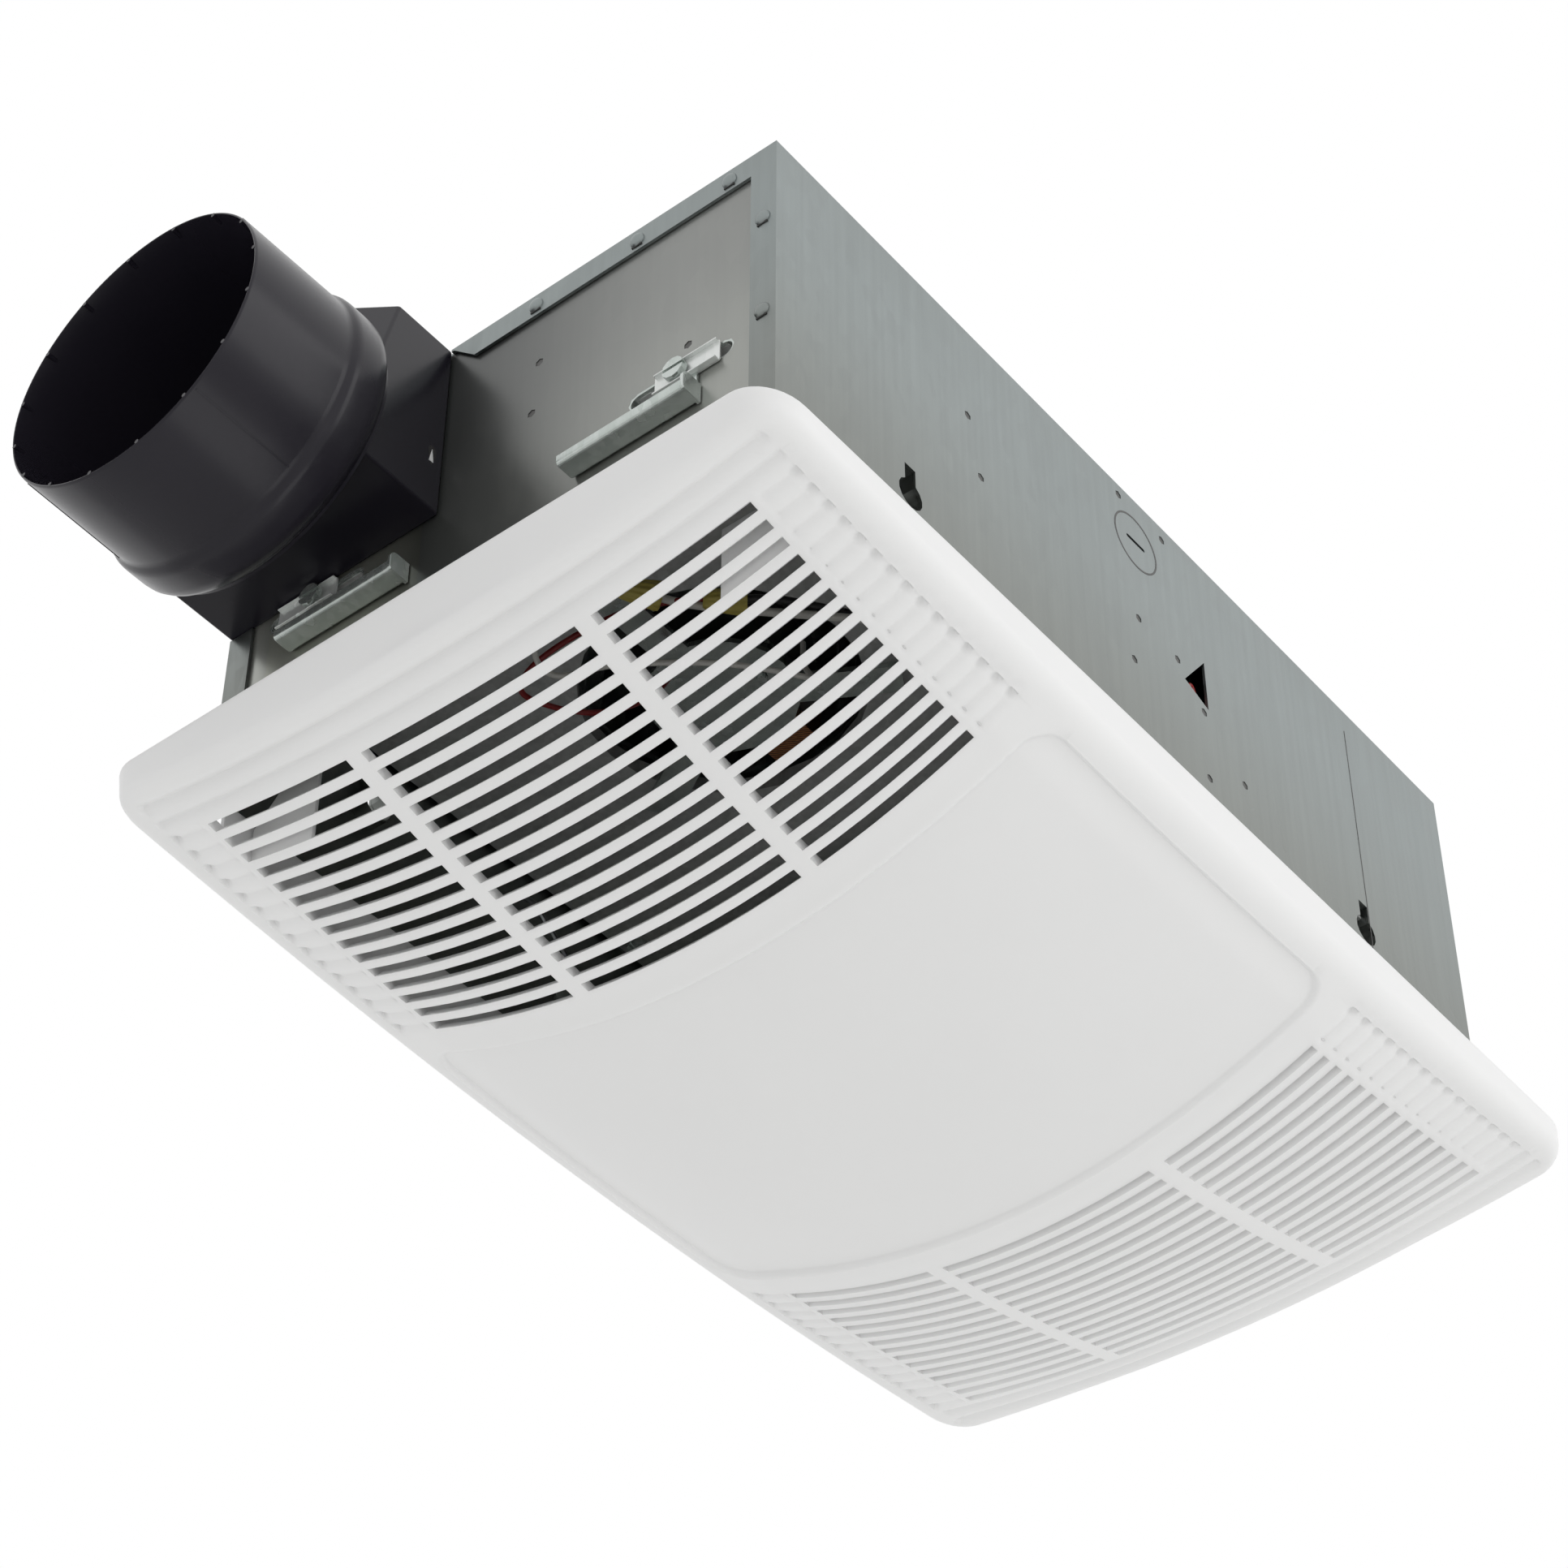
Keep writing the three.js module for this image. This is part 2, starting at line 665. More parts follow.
function housingShell() {
  const outer = box([-endX, endX], [-sideY, sideY], [0, housingHeight]);
  const hollow = box([-endX - cutOverrun, endX + cutOverrun], [-innerSideY, innerSideY],
    [-cutOverrun, housingHeight - sheetSteel]);
  const seatY = connectorInnerY - fitGap;
  const seatZ = connectorBottomZ - fitGap;
  const ductLap = [
    [-sideY, 0], [-lapY, 0], [-lapY, lapTopZ], [seatY - lapCut, lapTopZ],
    [seatY, housingHeight], [-sideY, housingHeight],
  ];
  const heaterLap = [
    [-sideY, 0], [-lapY, 0], [-lapY, lapTopZ], [lapY, lapTopZ], [lapY, 0], [sideY, 0],
    [sideY, housingHeight], [-sideY, housingHeight],
  ];
  const ductSheet = [-endX, -endX + sheetSteel];
  const shell = joined(
    cut(outer, hollow),
    plate('x', ductLap, ductSheet),
    plate('x', rectangle([lapY, sideY], [0, seatZ]), ductSheet),
    plate('x', heaterLap, [endX - sheetSteel, endX]),
    clinches(),
    supportTabs.map(supportTab),
  );
  const seat = box([-endX - cutOverrun, -wallOuterX], [seatY, sideY + cutOverrun],
    [seatZ, housingHeight + cutOverrun]);
  const keyholes = [];
  for (const side of [-1, 1]) {
    const depth = [side * sideY - cutOverrun, side * sideY + cutOverrun];
    for (const x of [-keyholeX, keyholeX]) keyholes.push(plate('y', keyhole(x), depth));
  }
  const front = [-sideY - cutOverrun, -innerSideY + fitGap];
  const lance = [[lanceX, lanceZ], [lanceX - lanceWidth, lanceZ - lanceDrop * lanceCornerShare],
    [lanceX, lanceZ - lanceDrop]];
  const pilots = frontPilotShares.map(([along, up]) => (
    rod('y', pilotHoleRadius, front, [along * endX, up * housingHeight], tinySides)
  ));
  const knockoutHole = rod('y', knockoutRadius + fitGap, front, [0, knockoutZ], ringSides);
  return piece('housing_shell', cut(shell, seat, keyholes, plate('y', lance, front), pilots, knockoutHole),
    'galvanised');
}

function wiringKnockout() {
  const disc = rod('y', knockoutRadius, [-sideY, -innerSideY], [0, knockoutZ], ringSides);
  const slot = plate('y', stadium(knockoutSlotLength, knockoutSlotWidth, 0, knockoutZ),
    [-sideY - cutOverrun, -innerSideY + cutOverrun]);
  return piece('wiring_knockout', cut(disc, slot), 'galvanised');
}

// An end wall stands just inside the lap strips, with a lip along each long wall
function endWall(name, end, cutters) {
  const sheet = span(end * wallOuterX, end * wallInnerX);
  const lip = span(end * wallOuterX, end * (wallInnerX - wallLip));
  const through = [sheet[0] - cutOverrun, sheet[1] + cutOverrun];
  const parts = [box(sheet, [-panelSideY, panelSideY], [fitGap, panelTopZ])];
  const slots = [];
  for (const side of [-1, 1]) {
    parts.push(box(lip, span(side * panelSideY, side * (panelSideY - sheetSteel)), [fitGap, panelTopZ]));
    const slot = stadium(hangerSlotLength, hangerSlotWidth, side * hangerSlotY, hangerSlotZ);
    slots.push(plate('x', slot, through));
  }
  return piece(name, cut(joined(parts), slots, cutters(through)), 'galvanised');
}

function ductEndWall() {
  const room = collarWall + fitGap;
  const port = rectangle([portInnerY - room, portOuterY + room], [portBottomZ - room, portTopZ + room]);
  return endWall('duct_end_wall', -1, (through) => [
    plate('x', port, through),
    ...ductPilotShares.map(([across, up]) => (
      rod('x', pilotHoleRadius, through, [across * sideY, up * housingHeight], tinySides)
    )),
  ]);
}

function heaterEndWall() {
  return endWall('heater_end_wall', 1, () => []);
}

// Hanger channels: a back clamped over the wall slot by its tab, a floor with an upturned lip,
// and a plate across one end.
// They are drawn for the +X end and turned round for the duct end.

const hangerBackX = wallOuterX + fitGap;
const hangerTabX = hangerBackX + hangerSheet;

function hangerChannel(side) {
  const lipX = hangerBackX + hangerReach;
  const length = span(side * hangerInnerY, side * hangerOuterY);
  const tab = [side * hangerSlotY - hangerTabWidth / 2, side * hangerSlotY + hangerTabWidth / 2];
  const height = [hangerFloorZ, hangerFloorZ + hangerBackHeight];
  const channel = joined(
    box([hangerBackX, hangerTabX], length, height),
    box([hangerBackX, lipX], length, [hangerFloorZ, hangerFloorZ + hangerSheet]),
    box([lipX - hangerSheet, lipX], length, [hangerFloorZ, hangerFloorZ + hangerLipHeight]),
    box([hangerBackX, lipX], [length[1] - hangerSheet, length[1]], height),
    box([hangerBackX, hangerTabX], tab, [hangerFloorZ, hangerTabTopZ]),
  );
  return cut(channel, rod('x', hangerScrewRadius + fitGap, [hangerBackX - cutOverrun, hangerTabX + cutOverrun],
    [side * hangerSlotY, hangerSlotZ], smallSides));
}

function hangerScrew(side) {
  const headX = hangerTabX + fitGap;
  const slotX = headX + hangerScrewHeadHeight / 2;
  const y = side * hangerSlotY;
  const slotReach = hangerScrewHeadRadius + fitGap;
  const slotHalf = hangerSheet / 2;
  const shank = rod('x', hangerScrewRadius, [headX - hangerScrewLength, slotX], [y, hangerSlotZ], smallSides);
  const head = rod('x', hangerScrewHeadRadius, [headX, headX + hangerScrewHeadHeight], [y, hangerSlotZ]);
  return cut(joined(shank, head), box([slotX, slotX + cutOverrun], [y - slotReach, y + slotReach],
    [hangerSlotZ - slotHalf, hangerSlotZ + slotHalf]));
}

function hangers() {
  const set = new THREE.Group();
  for (const [endName, turn] of [['duct_end', Math.PI], ['heater_end', 0]]) {
    const end = new THREE.Group();
    end.rotation.z = turn;
    for (const side of [-1, 1]) {
      const sideName = (turn > 0) === (side > 0) ? 'front' : 'rear';
      end.add(piece(`${endName}_${sideName}_hanger_channel`, hangerChannel(side), 'zinc'));
      end.add(piece(`${endName}_${sideName}_hanger_screw`, hangerScrew(side), 'zinc'));
    }
    set.add(end);
  }
  return set;
}

// Duct connector: a box over the outlet port, with a swelled ring and a round collar

function connectorBox() {
  const outside = box([-connectorFaceX, -connectorBackX], [connectorInnerY, sideY], [connectorBottomZ, housingHeight]);
  const chamfer = (inset, inward) => cornerCut(
    [inset - connectorFaceX, inward > 0 ? connectorInnerY + inset : sideY - inset, housingHeight - inset],
    [connectorChamferX, inward * connectorChamferY, -connectorChamferZ],
  );
  const inside = box([collarWall - connectorFaceX, -connectorInsideX],
    [connectorInnerY + collarWall, sideY - collarWall], [connectorBottomZ + collarWall, housingHeight - collarWall]);
  return {
    outside: cut(outside, chamfer(0, 1), chamfer(0, -1)),
    inside: cut(inside, chamfer(collarWall, 1), chamfer(collarWall, -1)),
  };
}

function collarBody() {
  const backX = connectorFaceX - collarWall;
  const profile = [
    [0, backX], [collarRadius - ringTuck, backX], [collarRadius + ringSwell / 2, backX + ringTuck],
    [collarRadius + ringSwell, backX + 2 * ringTuck], [collarRadius + ringSwell, collarRootX - ringSwell],
    [collarRadius, collarRootX], [collarTipRadius, collarMouthX], [0, collarMouthX],
  ];
  const drum = turned(profile, collarSides);
  drum.rotateY(-Math.PI / 2);
  drum.translate(0, collarY, collarZ);
  return solid(drum);
}

function ductConnector() {
  const { outside, inside } = connectorBox();
  const bore = rod('x', collarTipRadius - collarWall, [-collarMouthX - cutOverrun, -connectorFaceX],
    [collarY, collarZ], collarSides, collarRadius - collarWall);
  const innerY = connectorInnerY + collarWall;
  const outerY = sideY - collarWall;
  const topZ = housingHeight - collarWall;
  const bottomZ = connectorBottomZ + collarWall;
  const chamferZ = topZ - connectorChamferZ;
  const faceOpening = plate('x', [
    [innerY, bottomZ], [outerY, bottomZ], [outerY, chamferZ], [outerY - connectorChamferY, topZ],
    [innerY + connectorChamferY, topZ], [innerY, chamferZ],
  ], [-connectorFaceX - fitGap, -connectorFaceX + 2 * collarWall]);
  const roundOpening = rod('x', collarRadius - 2 * collarWall, [-connectorFaceX - cutOverrun, -connectorInsideX],
    [collarY, collarZ], collarSides);
  const port = (room, depth) => plate('x',
    rectangle([portInnerY - room, portOuterY + room], [portBottomZ - room, portTopZ + room]), depth);
  const spigot = port(collarWall, [-connectorInsideX, -connectorBackX + spigotLength]);
  const lugs = [];
  for (const [wallY, inward] of [[innerY, 1], [outerY, -1]]) {
    lugs.push(box([-damperHingeX - damperKnuckleRadius, -connectorInsideX + collarWall / 2],
      span(wallY - (inward * collarWall) / 2, wallY + inward * damperLugWidth),
      [damperHingeZ - damperKnuckleRadius, topZ + collarWall / 2]));
  }
  const shell = cut(joined(outside, collarBody(), spigot), bore, inside, faceOpening.intersect(roundOpening),
    port(0, [-connectorInsideX - fitGap, -connectorBackX + spigotLength + cutOverrun]));
  const pinBore = rod('y', damperPinRadius + fitGap, [innerY, outerY], [-damperHingeX, damperHingeZ], smallSides);
  return piece('duct_connector', cut(joined(shell, lugs), pinBore), 'blackPlastic');
}

function damper() {
  const leafX = [-connectorInsideX - fitGap - damperThickness, -connectorInsideX - fitGap];
  const leafY = [portInnerY - damperOverlap, portOuterY + damperOverlap];
  const hinge = [-damperHingeX, damperHingeZ];
  const leafTopZ = damperHingeZ - damperPinRadius;
  const flap = joined(
    rod('y', damperKnuckleRadius, leafY, hinge),
    box(leafX, leafY, [portBottomZ - damperOverlap, leafTopZ]),
    box([-damperHingeX, leafX[1]], leafY, [leafTopZ - damperThickness, leafTopZ]),
  );
  const boreSpan = [leafY[0] - cutOverrun, leafY[1] + cutOverrun];
  const pinBore = rod('y', damperPinRadius + fitGap, boreSpan, hinge, smallSides);
  const wallRoom = collarWall + fitGap;
  const pin = rod('y', damperPinRadius, [connectorInnerY + wallRoom, sideY - wallRoom], hinge, smallSides);
  return group(piece('damper_flap', cut(flap, pinBore), 'blackPlastic'), piece('damper_pin', pin, 'springSteel'));
}

// Scroll casings: a wall that winds out from the tongue, then runs straight to the outlet

function winding(startTurn, sweep, startRadius, endRadius) {
  return evenly(0, 1, scrollSteps).map((share) => {
    const radius = startRadius + (endRadius - startRadius) * share;
    return [radius * Math.cos(startTurn + sweep * share), radius * Math.sin(startTurn + sweep * share)];
  });
}

function exhaustScroll() {
  const tongueY = exhaustOutletInnerY - exhaustY;
  const outletX = -plateEndX - exhaustX;
  const startTurn = Math.PI - Math.asin(tongueY / exhaustTongueRadius);
  const sweep = (5 * Math.PI) / 2 - startTurn;
  const inner = winding(startTurn, sweep, exhaustTongueRadius, exhaustScrollRadius);
  const outerRadius = exhaustTongueRadius + sheetSteel;
  const outer = winding(startTurn, sweep, outerRadius, exhaustScrollRadius + sheetSteel);
  const tongueLowY = tongueY - sheetSteel;
  const points = [
    [outletX, tongueY], ...inner, [outletX, exhaustScrollRadius], [outletX, exhaustScrollRadius + sheetSteel],
    ...outer.slice(1).reverse(), [-Math.sqrt(outerRadius ** 2 - tongueLowY ** 2), tongueLowY], [outletX, tongueLowY],
  ];
  const wall = plate('z', points.map(([x, y]) => [x + exhaustX, y + exhaustY]), [plateTopZ + fitGap, panelTopZ]);
  return piece('exhaust_scroll', wall, 'innerSteel');
}

function heaterScroll() {
  const tongueTurn = THREE.MathUtils.degToRad(-heaterTongueDegrees);
  const sweep = -2 * Math.PI - tongueTurn;
  const tongueZ = heaterZ + heaterTongueRadius * Math.sin(tongueTurn);
  const outline = (room, bottomZ) => {
    const wound = winding(tongueTurn, sweep, heaterTongueRadius + room, heaterScrollRadius + room);
    const around = (room > 0 ? wound.slice(1) : wound).map(([x, z]) => [x + heaterX, z + heaterZ]);
    const tongue = room > 0 ? [[heaterOutletInnerX - room, tongueZ]] : [];
    return [[heaterOutletInnerX - room, bottomZ], ...tongue, ...around, [heaterOutletOuterX + room, bottomZ]];
  };
  const bottomZ = heaterPlateTopZ + fitGap;
  const casing = plate('y', outline(sheetSteel, bottomZ), [-heaterCasingOuter, heaterCasingOuter]);
  const airway = plate('y', outline(0, bottomZ - cutOverrun), [-heaterCasingHalf, heaterCasingHalf]);
  const inlet = rod('y', heaterInletRadius, [-heaterCasingOuter - cutOverrun, -heaterCasingHalf + cutOverrun],
    [heaterX, heaterZ], ringSides);
  const strap = box([heaterX - motorBridgeHalf, heaterX + motorBridgeHalf], [-heaterCasingOuter, -heaterCasingHalf],
    [heaterZ - heaterInletRadius - fitGap, heaterZ + heaterInletRadius + fitGap]);
  const strapCut = [-heaterCasingOuter - cutOverrun, -heaterCasingHalf + cutOverrun];
  const shaftHole = rod('y', motorBearingRadius, strapCut, [heaterX, heaterZ]);
  const studHoles = [-1, 1].map((side) => (
    rod('y', motorStudRadius + fitGap, strapCut, [heaterX, heaterZ + side * motorStudY], smallSides)
  ));
  return piece('heater_scroll', cut(joined(cut(casing, airway, inlet), strap), shaftHole, studHoles), 'innerSteel');
}

// Squirrel-cage wheels with forward-swept blades between rings, about their own z axis

function blade(radius, depth, from, to, turn) {
  const sweep = THREE.MathUtils.degToRad(bladeSweepDegrees);
  const half = bladeSheet / 2;
  const edge = (offset) => evenly(0, 1, 1).map((share) => {
    const at = radius - depth * (1 - share);
    const along = turn + sweep * share + offset / at;
    return [at * Math.cos(along), at * Math.sin(along)];
  });
  return plate('z', [...edge(-half), ...edge(half).reverse()], [from, to]);
}

// The wheel is open at its low end and closed by a disc with the hub at its high end
function bladeWheel({ radius, depth, count, from, to }) {
  const overlap = sheetSteel / 2;
  const blades = evenly(0, 2 * Math.PI, count).slice(1).map((turn) => (
    blade(radius - overlap, depth - sheetSteel, from + overlap, to - overlap, turn)
  ));
  const ring = cut(rod('z', radius, [from, from + wheelRingThickness], [0, 0], ringSides),
    rod('z', radius - depth + overlap, [from - cutOverrun, from + cutOverrun], [0, 0], ringSides));
  const disc = rod('z', radius, [to - wheelDiscThickness, to], [0, 0], ringSides);
  const hub = rod('z', hubRadius, [to - hubLength, to - wheelDiscThickness / 2], [0, 0]);
  const bore = rod('z', motorShaftRadius + fitGap, [from - cutOverrun, to + cutOverrun], [0, 0], smallSides);
  return cut(joined(blades, ring, disc, hub), bore);
}

// A shaded-pole motor: laminated core, coil on the leg, two bearing bridges on studs, rotor with its shaft

function studHolesAt(depth) {
  return [-1, 1].map((side) => rod('z', motorStudRadius + fitGap, depth, [0, side * motorStudY], smallSides));
}

function motorCore() {
  const outline = [
    [-motorHalf, -motorHalf], [motorHalf, -motorHalf], [motorHalf, -motorLegHalf], [motorLegReach, -motorLegHalf],
    [motorLegReach, motorLegHalf], [motorHalf, motorLegHalf], [motorHalf, motorHalf], [-motorHalf, motorHalf],
  ];
  const through = [-cutOverrun, motorStackHeight + cutOverrun];
  const window = box([motorWindowStart, motorWindowStart + motorWindowWidth],
    [-motorWindowHalf, motorWindowHalf], through);
  return cut(plate('z', outline, [0, motorStackHeight]),
    rod('z', motorBoreRadius, through, [0, 0], ringSides), window, studHolesAt(through));
}

function motorCoil() {
  const thickness = motorWindowWidth - 2 * fitGap;
  const half = motorWindowHalf - fitGap;
  const holeX = [motorWindowStart + motorWindowWidth - fitGap, motorLegReach + fitGap];
  const holeZ = [-fitGap, motorStackHeight + fitGap];
  const outside = box([holeX[0] - thickness, holeX[1] + thickness], [-half, half],
    [holeZ[0] - thickness, holeZ[1] + thickness]);
  return cut(outside, box(holeX, [-half - cutOverrun, half + cutOverrun], holeZ));
}

// The bridge stands on a face of the core; the lower one is the same strap turned over
function motorBridge(face, direction) {
  const at = (rise) => face + direction * (fitGap + rise);
  const bend = motorBridgeSheet / 2;
  const innerRise = motorBridgeRise - motorBridgeSheet;
  const half = [
    [motorBridgeCrown, innerRise], [motorBridgeFoot, 0], [motorHalf, 0], [motorHalf, motorBridgeSheet],
    [motorBridgeFoot + bend, motorBridgeSheet], [motorBridgeCrown + bend, motorBridgeRise],
  ];
  const strap = [...half, ...half.slice().reverse().map(([y, rise]) => [-y, rise])];
  const body = plate('x', strap.map(([y, rise]) => [y, at(rise)]), [-motorBridgeHalf, motorBridgeHalf]);
  const boss = rod('z', motorBearingRadius, span(at(innerRise), at(motorEndRise - fitGap)), [0, 0]);
  const reach = motorEndRise + cutOverrun;
  const bore = rod('z', motorShaftRadius + fitGap, [face - reach, face + reach], [0, 0], smallSides);
  return cut(joined(body, boss), bore);
}

function motorStator(prefix, studs) {
  const studRods = [-1, 1].map((side) => rod('z', motorStudRadius, studs, [0, side * motorStudY], smallSides));
  const upper = cut(motorBridge(motorStackHeight, 1), studHolesAt([motorStackHeight, motorStackHeight + cutOverrun]));
  return group(
    piece(`${prefix}_motor_core`, motorCore(), 'lamination'),
    piece(`${prefix}_motor_coil`, motorCoil(), 'copper'),
    piece(`${prefix}_motor_upper_bridge`, upper, 'zinc'),
    piece(`${prefix}_motor_lower_bridge`, joined(motorBridge(0, -1), studRods), 'zinc'),
  );
}

function motorRotor(prefix, shaftTop) {
  const rotor = rod('z', motorBoreRadius - motorAirGap, [0, motorStackHeight], [0, 0], ringSides);
  const shaft = rod('z', motorShaftRadius, [-motorEndRise, shaftTop], [0, 0], smallSides);
  return piece(`${prefix}_motor_rotor`, joined(rotor, shaft), 'lamination');
}

function exhaustBlower() {
  const wheel = bladeWheel({
    radius: exhaustWheelRadius,
    depth: exhaustBladeDepth,
    count: exhaustBlades,
    from: exhaustWheelBottomZ,
    to: exhaustWheelTopZ,
  });
  const studBottom = -motorEndRise - fitGap - bracketSheet - motorStudEnd;
  const motor = group(
    motorStator('exhaust', [studBottom, motorStackHeight + motorBridgeSheet + motorStudEnd]),
    motorRotor('exhaust', exhaustWheelTopZ - exhaustMotorZ - motorStudEnd),
  );
  motor.position.z = exhaustMotorZ;
  const blower = group(piece('exhaust_wheel', wheel, 'wheelSteel'), motor);
  blower.position.set(exhaustX, exhaustY, 0);
  return blower;
}

function heaterBlower() {
  const wheel = bladeWheel({
    radius: heaterWheelRadius,
    depth: heaterBladeDepth,
    count: heaterBlades,
    from: -heaterWheelHalf,
    to: heaterWheelHalf,
  });
  const strapInside = heaterMotorStart - heaterCasingHalf;
  const motor = group(
    motorStator('heater', [-motorBridgeSheet - motorStudEnd, strapInside + motorStudEnd]),
    motorRotor('heater', heaterMotorStart + heaterWheelHalf - motorStudEnd),
  );
  motor.position.z = -heaterMotorStart;
  const blower = group(piece('heater_wheel', wheel, 'wheelSteel'), motor);
  blower.rotation.x = -Math.PI / 2;
  blower.position.set(heaterX, 0, heaterZ);
  return blower;
}

// Plates and panels

function tabScrewHole({ x, side, plateTop }) {
  return rod('z', screwRadius + fitGap, [plateTop - cutOverrun, plateTop + fitGap],
    [x, side * (innerSideY - supportScrewInset)], smallSides);
}

function leadHole(z) {
  return rod('z', leadHoleRadius, [z - cutOverrun, z + cutOverrun], [leadHoleX, leadHoleY], ringSides);
}

function blowerPlate() {
  const sheet = box([-plateEndX, dividerX - fitGap], [-plateSideY, plateSideY], [blowerPlateZ, plateTopZ]);
  const at = [exhaustX, exhaustY];
  const lipTopZ = blowerPlateZ + inletLipHeight;
  const lip = rod('z', inletRadius + sheetSteel, [blowerPlateZ, lipTopZ], at, ringSides);
  const inlet = rod('z', inletRadius, [blowerPlateZ - cutOverrun, lipTopZ + cutOverrun], at, ringSides);
  const holes = supportTabs.filter(({ plateTop }) => plateTop === plateTopZ).map(tabScrewHole);
  return piece('blower_plate', cut(joined(sheet, lip), inlet, leadHole(blowerPlateZ), holes), 'innerSteel');
}

function motorBracket() {
  const sheet = [bracketTopZ - bracketSheet, bracketTopZ];
  const through = [sheet[0] - cutOverrun, sheet[1] + cutOverrun];
  const hub = rod('z', bracketHubRadius, sheet, [0, 0], ringSides);
  const arms = evenly(0, 360, bracketArms).slice(1).map((turn) => (
    box([0, bracketReach], [-bracketArmWidth / 2, bracketArmWidth / 2], sheet).rotate([0, 0, turn - 180])
  ));
  const mesh = piece('motor_bracket', cut(joined(hub, arms), studHolesAt(through)), 'zinc');
  mesh.position.set(exhaustX, exhaustY, 0);
  return mesh;
}

function dividerPanel() {
  const bottomZ = heaterPlateTopZ + fitGap;
  const panel = box([dividerX, dividerX + sheetSteel], [-panelSideY, panelSideY], [bottomZ, panelTopZ]);
  const foot = box([dividerX, dividerX + dividerFoot], [-panelSideY, panelSideY], [bottomZ, bottomZ + sheetSteel]);
  return piece('divider_panel', joined(panel, foot), 'innerSteel');
}

function heaterPlate() {
  const sheet = box([dividerX, plateEndX], [-plateSideY, plateSideY], [heaterPlateZ, heaterPlateTopZ]);
  const through = [heaterPlateZ - cutOverrun, heaterPlateTopZ + cutOverrun];
  const outlet = box([heaterOutletInnerX, heaterOutletOuterX], [-heaterCasingHalf, heaterCasingHalf], through);
  const slots = evenly(-1, 1, intakeSlots - 1).map((step) => {
    const outline = stadium(intakeSlotLength, intakeSlotWidth, 0, intakeSlotX + step * intakeSlotPitch);
    return plate('z', outline.map(([u, v]) => [v, u]), through);
  });
  const holes = supportTabs.filter(({ plateTop }) => plateTop === heaterPlateTopZ).map(tabScrewHole);
  return piece('heater_plate', cut(sheet, outlet, slots, holes), 'innerSteel');
}

function wiringBox() {
  const outsideX = [wiringBoxStartX, dividerX - fitGap];
  const outsideY = [-panelSideY, -panelSideY + wiringBoxDepth];
  const outside = box(outsideX, outsideY, [wiringBoxBottomZ, panelTopZ]);
  const inside = box([outsideX[0] + sheetSteel, outsideX[1] - sheetSteel],
    [outsideY[0] - cutOverrun, outsideY[1] - sheetSteel], [wiringBoxBottomZ + sheetSteel, panelTopZ + cutOverrun]);
  const screwHole = rod('z', screwRadius + fitGap, [wiringBoxBottomZ - cutOverrun, wiringBoxBottomZ + cutOverrun],
    [groundScrewX, leadHoleY], smallSides);
  return piece('wiring_box', cut(outside, inside, leadHole(wiringBoxBottomZ), screwHole), 'innerSteel');
}

function screws() {
  const set = supportTabs.map(({ x, side, plateTop, name }) => (
    piece(name, screwFromBelow(x, side * (innerSideY - supportScrewInset), plateTop - sheetSteel), 'zinc')
  ));
  const ground = screwFromBelow(groundScrewX, leadHoleY, wiringBoxBottomZ);
  return group(...set, piece('ground_screw', ground, 'greenScrew'));
}

// Heating element

function grown([low, high], by) {
  return [low - by, high + by];
}

const outletX = [heaterOutletInnerX, heaterOutletOuterX];
const outletY = [-heaterCasingHalf, heaterCasingHalf];

function elementFrame() {
  const walls = box(grown(outletX, sheetSteel), grown(outletY, sheetSteel), [elementBottomZ, elementTopZ]);
  const flange = box(grown(outletX, elementFlange), grown(outletY, elementFlange),
    [elementTopZ - sheetSteel, elementTopZ]);
  const airway = box(outletX, outletY, [elementBottomZ - cutOverrun, elementTopZ + cutOverrun]);
  return piece('element_frame', cut(joined(walls, flange), airway), 'zinc');
}

const bendRadius = ribbonPitch / 2;
const bendInset = fitGap + ribbonThickness + bendRadius;
const bendX = [heaterOutletInnerX + bendInset, heaterOutletOuterX - bendInset];

function ribbonRunY(run) {
  return (run - (ribbonRuns - 1) / 2) * ribbonPitch;
}

// One edge of the ribbon: it runs to and fro in x, and each bend is half a circle to the next run
function ribbonEdge(offset) {
  const points = [[bendX[0], ribbonRunY(0) - offset]];
  for (let run = 0; run < ribbonRuns - 1; run += 1) {
    const side = run % 2 === 0 ? 1 : -1;
    const radius = bendRadius + side * offset;
    const centre = [bendX[side > 0 ? 1 : 0], ribbonRunY(run) + bendRadius];
    for (const turn of evenly(-Math.PI / 2, Math.PI / 2, bendSteps)) {
      points.push([centre[0] + side * radius * Math.cos(turn), centre[1] + radius * Math.sin(turn)]);
    }
  }
  const lastSide = ribbonRuns % 2 === 0 ? -1 : 1;
  points.push([bendX[lastSide > 0 ? 1 : 0], ribbonRunY(ribbonRuns - 1) - lastSide * offset]);
  return points;
}

function heatingElement() {
  const half = ribbonThickness / 2;
  const low = elementMiddleZ - ribbonDepth / 2;
  const outline = [...ribbonEdge(half), ...ribbonEdge(-half).reverse()];
  return piece('heating_element', plate('z', outline, [low, low + ribbonDepth]), 'nichrome');
}

